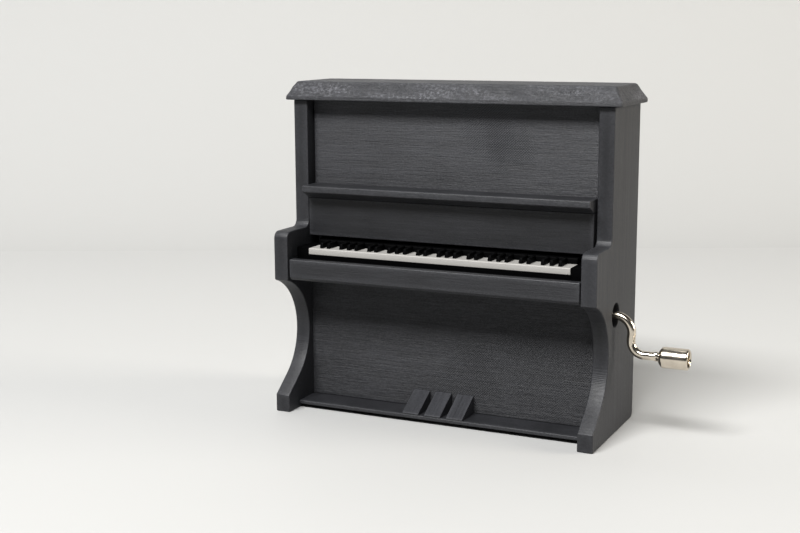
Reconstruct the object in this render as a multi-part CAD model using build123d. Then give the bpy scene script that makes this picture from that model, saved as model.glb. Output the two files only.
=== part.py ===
"""Miniature upright piano case with a hand-cranked music movement inside.

Millimetres, +Z up. While modelling, X = 0 is the middle of the case, Y = 0 is the front face of
the tall part of the cheeks and Z = 0 is the floor. Every piece is moved by `to_origin` at the end,
so that the origin is at the bottom centre of the whole object's bounding box.
"""
import math
import os

from build123d import *

# ---- case ----
case_width = 110.0
case_depth = 28.0
case_height = 103.0
cheek_t = 5.0
arm_front = -14.8
arm_top = 60.8
arm_bottom = 44.8
arm_step = 0.8
arm_round = 2.4
knee_center_y = -20.0
knee_center_z = 26.4
knee_r = 19.0
foot_front = -15.5
foot_height = 5.8
heel_round = 2.2

# ---- lid ----
lid_side = 2.6
lid_front = 1.5
lid_back_short = 0.8
lid_band = 1.4
lid_bevel = 4.7
lid_inset = 2.8
lid_corner = 0.9

# ---- upper front ----
front_half = 49.4
panel_y = 3.6
panel_t = 3.0
panel_bottom = 62.0
shelf_half = 49.5
shelf_front = -5.5
shelf_top = 75.1
shelf_nose = 2.1
shelf_under = 70.8
fall_y = -0.9
fall_bottom = 58.0
post_w = 5.0
post_d = 5.0

# ---- keyboard ----
bed_bottom = 44.9
bed_t = 3.1
slip_half = 49.6
slip_front = -14.5
slip_t = 3.0
slip_top = 51.8
slip_chamfer = 1.0
block_top = 51.6
key_half = 45.0
key_front = -9.5
key_back = 3.2
white_bottom = 53.0
white_top = 55.1
white_pitch = 2.48
white_count = 35
black_front = -8.3
black_top = 56.9
black_w = 1.2
black_spread = 0.3
black_nose = 0.5
black_in_octave = (1, 2, 4, 5, 6)
octaves = 5
comb_rail_y = -2.5

# ---- lower front ----
lower_y = 1.2
lower_t = 2.0
board_bottom = 1.3
board_top = 2.6
board_front = -8.8
back_t = 2.5
pedal_w = 5.7
pedal_pitch = 7.75
pedal_mid_x = -0.9
pedal_nose = 0.5
pedal_top = 8.7

# ---- crank ----
shaft_y = 5.7
shaft_z = 38.5
shaft_hole_r = 3.85
wire_r = 1.35
upper_bend_r = 5.2
lower_bend_r = 4.2
arm_x = 60.2
arm_lean = 4.0
crank_r = 11.8
knob_x = 69.2
knob_len = 9.1
knob_r = 3.3
knob_chamfer = 0.9
knob_web = 5.2
knob_cup_r = 2.45
crimp_w = 3.2
crimp_t = 1.7

# ---- music movement ----
running = 0.05
gear_module = 0.5
wheel_teeth = 20
worm_pitch_r = 1.4
worm_tip_r = 1.85
worm_root_r = 0.9
worm_turns = 5
thread_w = 0.52
tooth_w = 0.46
wheel_w = 2.4
wheel_x = 36.0
frame_left = 4.0
frame_right = 44.0
frame_t = 1.5
frame_front = 4.0
frame_back = 25.0
ear_t = 1.0
ear_half = 3.0
arbor_r = 0.8
drum_r = 6.5
drum_wall = 0.6
drum_start = 9.1
drum_end = 23.7
pin_r = 0.2
pin_out = 0.5
note_count = 18
comb_t = 0.7
comb_len = 22.0
comb_gap = 0.08

# ---- worked out ----
half = case_width / 2
inner = half - cheek_t
bed_top = bed_bottom + bed_t
lid_z = case_height
lid_top = case_height + lid_band + lid_bevel
back_y = case_depth - back_t
wheel_pitch_r = gear_module * wheel_teeth / 2
wheel_z = shaft_z - wheel_pitch_r - worm_pitch_r
plate_z = bed_bottom - frame_t
knob_z = shaft_z - crank_r
knob_end = knob_x + knob_len
lead = math.pi * gear_module
worm_half = worm_turns * lead / 2
x_low = -half - lid_side
to_origin = Location((-(x_low + knob_end) / 2, -(foot_front + case_depth) / 2, 0))

pieces = {}


def block(x0, x1, y0, y1, z0, z1):
    """Box between two corners."""
    size = (x1 - x0, y1 - y0, z1 - z0)
    return Pos((x0 + x1) / 2, (y0 + y1) / 2, (z0 + z1) / 2) * Box(*size)


def rod_x(x0, x1, y, z, r):
    """Round bar along X."""
    return Pos((x0 + x1) / 2, y, z) * Rot(0, 90, 0) * Cylinder(r, x1 - x0)


def rod_y(y0, y1, x, z, r):
    """Round bar along Y."""
    return Pos(x, (y0 + y1) / 2, z) * Rot(90, 0, 0) * Cylinder(r, y1 - y0)


def rod_z(z0, z1, x, y, r):
    """Round bar along Z."""
    return Pos(x, y, (z0 + z1) / 2) * Cylinder(r, z1 - z0)


def slab(outline, x0, x1):
    """Plate with the given (y, z) outline, from x0 to x1."""
    face = Plane.YZ * make_face(outline)
    return extrude(Pos(x0, 0, 0) * face, x1 - x0, dir=(1, 0, 0))


# ---- cheeks ----
def knee_point(angle):
    return (
        knee_center_y + knee_r * math.cos(math.radians(angle)),
        knee_center_z + knee_r * math.sin(math.radians(angle)),
    )


def foot_tangent_angle():
    """Angle on the knee circle where a line from the foot's top corner touches it."""
    dy = foot_front - knee_center_y
    dz = foot_height - knee_center_z
    toward = math.degrees(math.atan2(dz, dy))
    return toward + math.degrees(math.acos(knee_r / math.hypot(dy, dz)))


def cheek_outline():
    lead_in = arm_front + arm_step
    start = math.degrees(math.acos((lead_in - knee_center_y) / knee_r))
    stop = foot_tangent_angle()
    top_of_knee = knee_point(start)
    end_of_knee = knee_point(stop)
    return [
        Line((0, case_height), (0, arm_top)),
        Line((0, arm_top), (arm_front, arm_top)),
        Line((arm_front, arm_top), (arm_front, arm_bottom)),
        Line((arm_front, arm_bottom), top_of_knee),
        ThreePointArc(top_of_knee, knee_point((start + stop) / 2), end_of_knee),
        Line(end_of_knee, (foot_front, foot_height)),
        Line((foot_front, foot_height), (foot_front, 0)),
        Line((foot_front, 0), (case_depth, 0)),
        Line((case_depth, 0), (case_depth, case_height)),
        Line((case_depth, case_height), (0, case_height)),
    ]


def cheek(x0):
    plate = slab(cheek_outline(), x0, x0 + cheek_t)
    corners = [(0, arm_top), (arm_front, arm_top), (case_depth, 0)]
    for radius, (y, z) in zip((arm_round, arm_round, heel_round), corners):
        near = plate.edges().filter_by(Axis.X).sort_by_distance((x0 + cheek_t / 2, y, z))[0]
        plate = fillet(near, radius)
    return plate


pieces["left_cheek"] = cheek(-half)
pieces["right_cheek"] = cheek(inner) - rod_x(inner - 1, half + 1, shaft_y, shaft_z, shaft_hole_r)


# ---- lid ----
def lid():
    x = half + lid_side
    y0 = -lid_front
    y1 = case_depth - lid_back_short
    mid = (y0 + y1) / 2
    low = RectangleRounded(2 * x, y1 - y0, lid_corner)
    small = lid_corner * 0.9
    high = RectangleRounded(2 * (x - lid_inset), y1 - y0 - 2 * lid_inset, small)
    band = extrude(Pos(0, mid, lid_z) * low, lid_band)
    foot = Pos(0, mid, lid_z + lid_band) * low
    crown = Pos(0, mid, lid_top) * high
    return band + loft([foot, crown], ruled=True)


pieces["lid"] = lid()

# ---- upper front ----
pieces["upper_panel"] = block(
    -front_half, front_half, panel_y, panel_y + panel_t, panel_bottom, lid_z
)
shelf_outline = Polyline(
    (panel_y, shelf_top),
    (shelf_front, shelf_top),
    (shelf_front, shelf_top - shelf_nose),
    (fall_y, shelf_under),
    (panel_y, shelf_under),
    close=True,
)
pieces["music_shelf"] = slab(shelf_outline, -shelf_half, shelf_half)
pieces["fallboard"] = block(
    -front_half, front_half, fall_y, panel_y, fall_bottom, shelf_under
)
post_y = panel_y + panel_t
for side, name in ((-1, "left_post"), (1, "right_post")):
    xs = sorted((side * inner, side * (inner - post_w)))
    pieces[name] = block(*xs, post_y, post_y + post_d, bed_top, lid_z)

# ---- keyboard ----
slip_back = slip_front + slip_t
bed = block(-inner, inner, slip_back, back_y, bed_bottom, bed_top)
slip = block(-slip_half, slip_half, slip_front, slip_back, bed_bottom, slip_top)
lower_lip = slip.edges().filter_by(Axis.X).group_by(Axis.Z)[0].sort_by(Axis.Y)[0]
pieces["key_slip"] = chamfer(lower_lip, slip_chamfer)

key_block = block(-slip_half, slip_half, slip_back, key_back, bed_top, block_top)
key_block += block(-key_half, key_half, key_front + 0.3, key_back, block_top, white_bottom)
for side in (-1, 1):
    xs = sorted((side * key_half, side * slip_half))
    key_block += block(*xs, key_front + 0.6, key_back, block_top, white_top)
pieces["key_block"] = key_block

whites = block(-key_half, key_half, key_front, key_back, white_bottom, white_top)
front_top = whites.edges().filter_by(Axis.X).group_by(Axis.Z)[-1].sort_by(Axis.Y)[0]
pieces["white_keys"] = fillet(front_top, 0.3)

row_half = white_count * white_pitch / 2


def black_keys():
    """Comb of sharps: one rail at the back under the fallboard and one finger per key. The
    outer two of each group of three stand a little away from the middle one."""
    comb = block(-key_half, key_half, comb_rail_y, key_back, white_top, black_top)
    outline = Polyline(
        (black_front, white_top),
        (black_front + black_nose, black_top),
        (comb_rail_y + 0.2, black_top),
        (comb_rail_y + 0.2, white_top),
        close=True,
    )
    for octave in range(octaves):
        for step in black_in_octave:
            x = -row_half + (7 * octave + step) * white_pitch
            x += max(step - 5, -1) * black_spread if step > 3 else 0
            comb += slab(outline, x - black_w / 2, x + black_w / 2)
    return comb


pieces["black_keys"] = black_keys()

# ---- lower front, floor and back ----
pieces["lower_panel"] = block(
    -inner, inner, lower_y, lower_y + lower_t, board_top, bed_bottom
)
pieces["bottom_board"] = block(-inner, inner, board_front, back_y, board_bottom, board_top)
pieces["back_panel"] = block(-inner, inner, back_y, case_depth, board_bottom, case_height)
pedal_outline = Polyline(
    (board_front, board_top),
    (board_front, board_top + pedal_nose),
    (lower_y, pedal_top),
    (lower_y, board_top),
    close=True,
)
for index, name in enumerate(("left_pedal", "middle_pedal", "right_pedal")):
    x = pedal_mid_x + (index - 1) * pedal_pitch
    pieces[name] = slab(pedal_outline, x - pedal_w / 2, x + pedal_w / 2)

rear_post_y = back_y - post_d
rear_posts = []
for side in (-1, 1):
    xs = sorted((side * inner, side * (inner - post_w)))
    rear_posts.append(block(*xs, rear_post_y, back_y, bed_top, lid_z))
    rear_posts.append(block(*xs, rear_post_y, back_y, board_top, bed_bottom))

# ---- back screws ----
back_screw_x = inner - post_w / 2
back_screw_z = (12.0, 95.0)
back_screws = []
back_holes = []
for x in (-back_screw_x, back_screw_x):
    for z in back_screw_z:
        shank = rod_y(back_y - 4.0, case_depth, x, z, 0.9)
        sunk = rod_y(case_depth - 1.0, case_depth, x, z, 1.7)
        slot = block(x - 1.2, x + 1.2, case_depth - 0.5, case_depth, z - 0.2, z + 0.2)
        back_screws.append(shank + sunk - slot)
        back_holes.append(shank + sunk)
for hole in back_holes:
    pieces["back_panel"] -= hole
    rear_posts = [post - hole for post in rear_posts]
pieces["rear_posts"] = rear_posts
pieces["back_screws"] = back_screws

# ---- movement frame, hung from the key bed ----
block_x1 = frame_left + 9.0
seat_z = wheel_z + comb_t / 2
plate = block(frame_left, frame_right, frame_front, frame_back, plate_z, bed_bottom)
plate += block(frame_left + 1, block_x1, drum_start - 0.3, drum_end + 0.3, seat_z, plate_z)
front_ear_y = drum_start - 0.3 - ear_t
rear_ear_y = drum_end + 0.3
for y in (front_ear_y, rear_ear_y):
    ear = block(wheel_x - ear_half, wheel_x + ear_half, y, y + ear_t, wheel_z, plate_z)
    ear += rod_y(y, y + ear_t, wheel_x, wheel_z, ear_half)
    plate += ear - rod_y(y - 1, y + ear_t + 1, wheel_x, wheel_z, arbor_r + running)
left_ear_x = wheel_x - 6.4
right_ear_x = wheel_x + 6.6
worm_ear_half = 1.7
for x in (left_ear_x, right_ear_x):
    y0 = shaft_y - worm_ear_half
    y1 = shaft_y + worm_ear_half
    ear = block(x, x + 1.2, y0, y1, shaft_z, plate_z)
    ear += rod_x(x, x + 1.2, shaft_y, shaft_z, worm_ear_half)
    plate += ear - rod_x(x - 1, x + 2.2, shaft_y, shaft_z, worm_root_r + running)

frame_screw_xy = (
    (frame_left + 4.5, drum_start + 2.5),
    (frame_left + 4.5, drum_end - 2.5),
    (frame_right - 3.0, 0.5 * (drum_start + drum_end)),
)
frame_screws = []
for x, y in frame_screw_xy:
    tip = plate_z - 3.0 if x < block_x1 else plate_z - 0.4
    screw = rod_z(tip, bed_top, x, y, 1.1) + rod_z(bed_top, bed_top + 1.3, x, y, 2.1)
    bed -= rod_z(bed_bottom - 1, bed_top + 1, x, y, 1.1)
    plate -= rod_z(tip, bed_bottom + 1, x, y, 1.1)
    slot_z = bed_top + 0.8
    frame_screws.append(screw - block(x - 1.5, x + 1.5, y - 0.25, y + 0.25, slot_z, slot_z + 1))
pieces["key_bed"] = bed
pieces["frame_screws"] = frame_screws

# ---- comb ----
tip_x = wheel_x - drum_r - pin_out - comb_gap
comb_x0 = tip_x - comb_len
note_pitch = (drum_end - drum_start) / note_count
comb = block(comb_x0, tip_x, drum_start, drum_end, wheel_z - comb_t / 2, wheel_z + comb_t / 2)
for index in range(1, note_count):
    y = drum_start + index * note_pitch
    root = tip_x - 13.0 + 5.0 * index / note_count
    comb -= block(root, tip_x + 1, y - 0.1, y + 0.1, wheel_z - 1, wheel_z + 1)
comb_screws = []
for y in (drum_start + 3.5, drum_end - 3.5):
    x = frame_left + 5.0
    low = wheel_z - comb_t / 2
    screw = rod_z(low, seat_z + 4.0, x, y, 1.0) + rod_z(low - 1.1, low, x, y, 1.9)
    comb -= rod_z(low - 1, seat_z + 1, x, y, 1.0)
    plate -= rod_z(seat_z - 1, seat_z + 4.0, x, y, 1.0)
    comb_screws.append(screw - block(x - 1.3, x + 1.3, y - 0.22, y + 0.22, low - 2, low - 0.7))
pieces["movement_frame"] = plate
pieces["comb"] = comb
pieces["comb_screws"] = comb_screws

# ---- pinned cylinder, arbor and wheel ----
drum = rod_y(drum_start, drum_end, wheel_x, wheel_z, drum_r)
drum -= rod_y(drum_start + 0.8, drum_end - 0.8, wheel_x, wheel_z, drum_r - drum_wall)
drum += rod_y(drum_start, drum_end, wheel_x, wheel_z, arbor_r + 0.8)
drum -= rod_y(drum_start - 1, drum_end + 1, wheel_x, wheel_z, arbor_r)
for note in range(note_count):
    y = drum_start + (note + 0.5) * note_pitch
    for turn in range(4):
        angle = 90 * turn + (47 * note) % 90 + 12 * (turn % 2)
        reach = drum_r + pin_out / 2 - 0.1
        a = math.radians(angle)
        spot = Pos(wheel_x + reach * math.sin(a), y, wheel_z + reach * math.cos(a))
        drum += spot * Rot(0, angle, 0) * Cylinder(pin_r, pin_out + 0.2)
pieces["cylinder"] = drum
pieces["arbor"] = rod_y(shaft_y - wheel_w / 2 - 0.3, rear_ear_y + ear_t, wheel_x, wheel_z, arbor_r)

helix_angle = math.degrees(math.atan(lead / (2 * math.pi * worm_pitch_r)))
root_r = wheel_pitch_r - 0.6
tip_r = wheel_pitch_r + 0.4
wheel = Cylinder(root_r, wheel_w)
tooth = Pos((root_r + tip_r) / 2 - 0.15, 0, 0) * Rot(-helix_angle, 0, 0) * Box(
    tip_r - root_r + 0.3, tooth_w, wheel_w / math.cos(math.radians(helix_angle))
)
tooth &= Cylinder(wheel_pitch_r + 2, wheel_w)
for index in range(wheel_teeth):
    wheel += Rot(0, 0, 360 * index / wheel_teeth) * tooth
wheel -= Cylinder(arbor_r, wheel_w + 2)
pieces["worm_wheel"] = Pos(wheel_x, shaft_y, wheel_z) * Rot(-90, 0, 0) * wheel


# ---- worm shaft, clip, crank and knob ----
def worm_thread():
    """Right-hand thread of trapezoid section, along Z, middle at the origin."""
    base_r = worm_root_r - 0.1
    path = Helix(lead, 2 * worm_half, base_r)
    flank = 0.1
    start = path @ 0
    plane = Plane(origin=start, x_dir=(1, 0, 0), z_dir=path % 0)
    tall = worm_tip_r - base_r
    wide = thread_w + 2 * flank
    face = plane * make_face(
        Polyline(
            (0, -wide / 2), (tall, -thread_w / 2 + flank), (tall, thread_w / 2 - flank),
            (0, wide / 2), close=True,
        )
    )
    return Pos(0, 0, -worm_half) * sweep(face, path=path, is_frenet=True)


boss_x0 = right_ear_x + 1.4
boss_x1 = inner - 0.5
wire_in = boss_x0 + 1.5
shaft_left = left_ear_x - 1.0
shaft = rod_x(shaft_left, boss_x0, shaft_y, shaft_z, worm_root_r)
shaft += rod_x(boss_x0, boss_x1, shaft_y, shaft_z, 2.0)
shaft -= rod_x(wire_in, boss_x1 + 1, shaft_y, shaft_z, wire_r)
worm = Rot(0, 90, 0) * worm_thread()
pieces["worm_shaft"] = shaft + Pos(wheel_x, shaft_y, shaft_z) * worm
clip = rod_x(shaft_left + 0.1, shaft_left + 0.8, shaft_y, shaft_z, 1.6)
pieces["shaft_clip"] = clip - rod_x(shaft_left - 1, left_ear_x, shaft_y, shaft_z, worm_root_r)


def bend(x, z, radius, a0, a1):
    """Bend of the wire about (x, z) in the plane of the crank, from angle a0 to a1."""
    def at(angle):
        a = math.radians(angle)
        return (x + radius * math.cos(a), shaft_y, z + radius * math.sin(a))
    return ThreePointArc(at(a0), at((a0 + a1) / 2), at(a1))


wire_end = knob_x + knob_web + 0.5
lean = math.radians(arm_lean)
upper_x = arm_x - upper_bend_r
bends_r = upper_bend_r + lower_bend_r
arm_run = (crank_r - bends_r * (1 + math.sin(lean))) / math.cos(lean)
lower_x = upper_x + bends_r * math.cos(lean) - arm_run * math.sin(lean)
upper_bend = bend(upper_x, shaft_z - upper_bend_r, upper_bend_r, 90, -arm_lean)
lower_bend = bend(lower_x, knob_z + lower_bend_r, lower_bend_r, 180 - arm_lean, 270)
path = Wire([
    Line((wire_in, shaft_y, shaft_z), upper_bend @ 0),
    upper_bend,
    Line(upper_bend @ 1, lower_bend @ 0),
    lower_bend,
    Line(lower_bend @ 1, (wire_end, shaft_y, knob_z)),
])
section = Plane(origin=path @ 0, z_dir=(1, 0, 0)) * Circle(wire_r)
crank = sweep(section, path=path)
crimp = Pos(knob_x - 1.0, shaft_y, knob_z) * Box(0.9, crimp_t, crimp_w)
pieces["crank"] = crank + crimp

knob = rod_x(knob_x, knob_end, shaft_y, knob_z, knob_r)
knob = chamfer(knob.edges().filter_by(GeomType.CIRCLE).sort_by(Axis.X)[0], knob_chamfer)
knob = fillet(knob.edges().filter_by(GeomType.CIRCLE).sort_by(Axis.X)[-1], 0.5)
knob -= rod_x(knob_x - 1, knob_end, shaft_y, knob_z, wire_r + running)
knob -= rod_x(knob_x + knob_web, knob_end + 1, shaft_y, knob_z, knob_cup_r)
pieces["knob"] = knob
rivet = rod_x(wire_end, wire_end + 0.9, shaft_y, knob_z, 1.8)
pieces["knob_rivet"] = fillet(rivet.edges().sort_by(Axis.X)[-1], 0.4)

# ---- write one file per piece ----
os.makedirs("parts", exist_ok=True)
for name, shape in pieces.items():
    solids = shape if isinstance(shape, list) else shape.solids()
    moved = [to_origin * solid for item in solids for solid in item.solids()]
    out = moved[0] if len(moved) == 1 else Compound(children=moved)
    out.label = name
    export_step(out, "parts/" + name + ".step")
    print(name, len(moved), [round(v, 2) for v in out.bounding_box().size])
print("origin shift", to_origin.position)
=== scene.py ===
"""Miniature upright piano with a hand crank, built around its fixed CAD frame."""
import math

import bpy
import numpy as np
from mathutils import Matrix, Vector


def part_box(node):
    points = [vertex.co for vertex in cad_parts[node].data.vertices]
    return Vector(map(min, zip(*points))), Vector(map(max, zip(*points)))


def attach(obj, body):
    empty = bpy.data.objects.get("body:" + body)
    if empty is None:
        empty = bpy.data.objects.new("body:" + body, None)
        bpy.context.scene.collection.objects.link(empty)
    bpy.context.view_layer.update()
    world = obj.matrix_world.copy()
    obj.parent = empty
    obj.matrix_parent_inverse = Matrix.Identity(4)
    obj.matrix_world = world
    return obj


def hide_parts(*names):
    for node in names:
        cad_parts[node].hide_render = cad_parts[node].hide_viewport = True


bl_info = {
    "name": "Printed upright piano",
    "version": (1, 0, 0),
    "blender": (4, 5, 0),
    "location": "3D View > Sidebar > Piano",
    "description": "Builds the printed case, keyboard and crank of a miniature upright piano",
    "category": "Add Mesh",
}

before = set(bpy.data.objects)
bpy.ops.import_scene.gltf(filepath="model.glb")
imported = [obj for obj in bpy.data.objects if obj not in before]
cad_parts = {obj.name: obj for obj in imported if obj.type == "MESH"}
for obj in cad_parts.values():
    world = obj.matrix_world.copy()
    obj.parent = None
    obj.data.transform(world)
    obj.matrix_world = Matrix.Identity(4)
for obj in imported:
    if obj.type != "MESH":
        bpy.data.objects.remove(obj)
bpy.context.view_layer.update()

MM = 0.001
CASE_DEPTH = 28.0
LEFT_LOW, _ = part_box("left_cheek")
_, RIGHT_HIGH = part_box("right_cheek")
CASE_ORIGIN = np.array([
    (LEFT_LOW.x + RIGHT_HIGH.x) / 2,
    RIGHT_HIGH.y - CASE_DEPTH * MM,
    0.0,
])


def case_mm(node):
    """Low and high corner of a CAD node in case millimetres: X from the middle, Y from the
    front face of the tall part of the cheeks, Z from the floor."""
    low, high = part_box(node)
    return (
        (np.array(low) - CASE_ORIGIN) / MM,
        (np.array(high) - CASE_ORIGIN) / MM,
    )


# ---------------------------------------------------------------- settings
class PianoPrintSettings(bpy.types.PropertyGroup):
    """Look of the grey printed plastic"""

    grey: bpy.props.FloatVectorProperty(
        name="Plastic grey", description="Colour of the printed plastic",
        subtype="COLOR", size=3, min=0.0, max=1.0, default=(0.0225, 0.0231, 0.0262),
    )
    layer: bpy.props.FloatProperty(
        name="Layer height", description="Height of one printed layer",
        subtype="DISTANCE", unit="LENGTH", min=0.00005, max=0.001, default=0.0002,
    )
    rounding: bpy.props.FloatProperty(
        name="Edge rounding", description="Radius left on printed edges",
        subtype="DISTANCE", unit="LENGTH", min=0.0001, max=0.001, default=0.00035,
    )
    # Edge wear also scales the lid's paler top, which is painted sheen.
    wear_and_sheen: bpy.props.FloatProperty(
        name="Edge wear", description="How pale the sanded and rubbed edges are",
        subtype="FACTOR", min=0.0, max=1.0, default=0.5,
    )


class PianoKeySettings(bpy.types.PropertyGroup):
    """Look of the keys"""

    ivory: bpy.props.FloatVectorProperty(
        name="White key colour", description="Colour of the white strip",
        subtype="COLOR", size=3, min=0.0, max=1.0, default=(0.375, 0.366, 0.352),
    )
    ebony: bpy.props.FloatVectorProperty(
        name="Black key colour", description="Colour of the black keys and filler",
        subtype="COLOR", size=3, min=0.0, max=1.0, default=(0.0015, 0.0015, 0.0018),
    )


class PianoMetalSettings(bpy.types.PropertyGroup):
    """Look of the crank"""

    nickel: bpy.props.FloatVectorProperty(
        name="Nickel colour", description="Colour of the plated wire and knob",
        subtype="COLOR", size=3, min=0.0, max=1.0, default=(0.72, 0.66, 0.57),
    )
    shine: bpy.props.FloatProperty(
        name="Nickel roughness", description="Roughness of the plating",
        subtype="FACTOR", min=0.0, max=1.0, default=0.16,
    )


class PianoStageSettings(bpy.types.PropertyGroup):
    """Camera, light and floor"""

    lens: bpy.props.FloatProperty(
        name="Lens", description="Focal length for a 36 mm wide sensor",
        subtype="NONE", min=10.0, max=200.0, default=59.24,
    )
    floor: bpy.props.FloatVectorProperty(
        name="Floor colour", description="Colour of the floor",
        subtype="COLOR", size=3, min=0.0, max=1.0, default=(0.455, 0.456, 0.452),
    )
    wall: bpy.props.FloatVectorProperty(
        name="Wall colour", description="Colour of the wall behind",
        subtype="COLOR", size=3, min=0.0, max=1.0, default=(0.45, 0.451, 0.446),
    )
    softbox: bpy.props.FloatProperty(
        name="Softbox power", description="Power of the main overhead light",
        subtype="POWER", unit="POWER", min=0.0, max=100.0, default=47.0,
    )


# ---------------------------------------------------------------- shapes
SHORTEST_SIDE = 0.012


def smooth_noise(points, scale, seed):
    """Sum of eight sine waves, each along its own fixed direction: sin(k . p + phase), with k
    drawn once from a seeded generator. Values lie in about -1 to 1."""
    rng = np.random.default_rng(seed)
    waves = rng.normal(size=(8, 3))
    waves /= np.linalg.norm(waves, axis=1)[:, None]
    lengths = rng.uniform(0.6, 1.8, size=8) * scale
    phases = rng.uniform(0, 2 * math.pi, size=8)
    turns = points @ (waves / lengths[:, None] * 2 * math.pi).T + phases
    return np.sin(turns).sum(axis=1) / 8 ** 0.5 / 1.5


def resample(line, spacing):
    """Points of a polyline with extra ones put in, so that no step is longer than spacing."""
    start, end = line[:-1], line[1:]
    counts = np.maximum(1, np.ceil(np.linalg.norm(end - start, axis=1) / spacing).astype(int))
    owner = np.repeat(np.arange(len(counts)), counts)
    within = np.arange(counts.sum()) - np.repeat(np.cumsum(counts) - counts, counts)
    share = (within / counts[owner])[:, None]
    return start[owner] * (1 - share) + end[owner] * share


def rounded_outline(corners, radii, spacing, steps=6):
    """Closed outline with rounded corners: along each side a straight run, and at each corner an
    arc centre + r (cos a, sin a) tangent to both sides. Returns points and a corner mark."""
    corners = np.array(corners, float)
    before = np.roll(corners, 1, axis=0) - corners
    after = np.roll(corners, -1, axis=0) - corners
    before /= np.linalg.norm(before, axis=1)[:, None]
    after /= np.linalg.norm(after, axis=1)[:, None]
    half = np.arccos(np.clip((before * after).sum(1), -1, 1)) / 2
    radii = np.array(radii, float)
    reach = radii / np.tan(half)
    middle = before + after
    middle /= np.linalg.norm(middle, axis=1)[:, None]
    centre = corners + middle * (radii / np.sin(half))[:, None]
    first = corners + before * reach[:, None] - centre
    last = corners + after * reach[:, None] - centre
    turn = np.arctan2(
        first[:, 0] * last[:, 1] - first[:, 1] * last[:, 0], (first * last).sum(1)
    )
    t = np.linspace(0, 1, steps)[None, :] * turn[:, None]
    arc_x = centre[:, :1] + first[:, :1] * np.cos(t) - first[:, 1:] * np.sin(t)
    arc_y = centre[:, 1:] + first[:, :1] * np.sin(t) + first[:, 1:] * np.cos(t)
    points = np.stack([arc_x, arc_y], axis=2).reshape(-1, 2)
    step = np.linalg.norm(points - np.roll(points, 1, axis=0), axis=1)
    points = points[step > SHORTEST_SIDE]
    closed = np.vstack([points, points[:1]])
    outline = resample(closed, spacing)
    gap = np.linalg.norm(outline[:, None, :] - points[None, :, :], axis=2).min(axis=1)
    return outline, (gap < 1e-6).astype(float)


def outward(outline):
    """Unit normals of a closed counter-clockwise outline: the tangent turned by -90 degrees."""
    tangent = np.roll(outline, -1, axis=0) - np.roll(outline, 1, axis=0)
    tangent /= np.linalg.norm(tangent, axis=1)[:, None]
    return np.stack([tangent[:, 1], -tangent[:, 0]], axis=1)


def anticlockwise(outline):
    """The outline in counter-clockwise order, by the sign of its shoelace area."""
    nxt = np.roll(outline, -1, axis=0)
    area = (outline[:, 0] * nxt[:, 1] - nxt[:, 0] * outline[:, 1]).sum()
    return outline if area > 0 else outline[::-1]


def ring_faces(rows, columns):
    """Quads between neighbouring rows of a grid whose columns close on themselves."""
    r = np.arange(rows - 1)[:, None] * columns
    c = np.arange(columns)[None, :]
    n = (c + 1) % columns
    quads = np.stack([r + c, r + n, r + columns + n, r + columns + c], axis=2)
    return quads.reshape(-1, 4)


def closed_faces(rows, columns):
    """The quads of a ring grid and one face over each of its ends, as index lists."""
    first = np.arange(columns)[::-1]
    last = (rows - 1) * columns + np.arange(columns)
    return ring_faces(rows, columns).tolist() + [first.tolist(), last.tolist()]


def bar_grid(outline, start, end, rounding, spacing, steps=5, flared=False):
    """Bar of constant section: row v is the outline drawn in along its own normals by
    r (1 - sin a) while the place along the bar moves by r (1 - cos a), so both ends are rounded.
    A flared bar widens at its ends by the same rule, as the wall of a hole does.
    Returns points (place, u, w), the quads, the two end loops and an edge mark."""
    normal = outward(outline)
    a = np.linspace(0, math.pi / 2, steps)
    inset = rounding * (1 - np.sin(a)) * (-1 if flared else 1)
    shift = rounding * (1 - np.cos(a))
    count = max(1, int(round((end - start - 2 * rounding) / spacing)))
    middle = np.linspace(start + rounding, end - rounding, count + 1)[1:-1]
    place = np.concatenate([start + shift, middle, (end - shift)[::-1]])
    draw = np.concatenate([inset, np.zeros(len(middle)), inset[::-1]])
    rim = np.concatenate([np.ones(steps), np.zeros(len(middle)), np.ones(steps)])
    flat = outline[None, :, :] - normal[None, :, :] * draw[:, None, None]
    along = np.broadcast_to(place[:, None, None], flat[:, :, :1].shape)
    points = np.concatenate([along, flat], axis=2).reshape(-1, 3)
    columns, rows = len(outline), len(place)
    quads = ring_faces(rows, columns)
    first = np.arange(columns)[::-1]
    last = (rows - 1) * columns + np.arange(columns)
    return points, quads, first, last, np.repeat(rim, columns)


def put_mesh(name, points, faces, marks=None):
    """Mesh object from points in case millimetres, faces as index lists, and named marks."""
    mesh = bpy.data.meshes.new(name)
    mesh.from_pydata((points * MM + CASE_ORIGIN).tolist(), [], faces)
    mesh.polygons.foreach_set("use_smooth", [True] * len(mesh.polygons))
    for mark, values in (marks or {}).items():
        layer = mesh.attributes.new(mark, "FLOAT", "POINT")
        layer.data.foreach_set("value", np.asarray(values, np.float32))
    mesh.update()
    piece = bpy.data.objects.new(name, mesh)
    bpy.context.scene.collection.objects.link(piece)
    return piece


def flatten_caps(piece, big_corners=8):
    """Faces with many corners are flat ends, so they are shaded flat."""
    mesh = piece.data
    sizes = np.zeros(len(mesh.polygons), np.int32)
    mesh.polygons.foreach_get("loop_total", sizes)
    mesh.polygons.foreach_set("use_smooth", (sizes < big_corners).tolist())


def lay_on(piece, node, body, material):
    """The piece takes the CAD node's place and body, and gets its material."""
    piece.data.materials.append(material)
    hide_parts(node)
    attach(piece, body)
    return piece


def sag(points, amount, scale, seed, axis):
    """Moves points along one axis by amount times the smooth noise, as warped prints do."""
    moved = points.copy()
    moved[:, axis] += amount * smooth_noise(points, scale, seed)
    return moved


# ---------------------------------------------------------------- materials
def new_material(name):
    """A new material, its node tree and its main shader."""
    material = bpy.data.materials.new(name)
    material.use_nodes = True
    tree = material.node_tree
    return material, tree, tree.nodes["Principled BSDF"]


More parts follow.
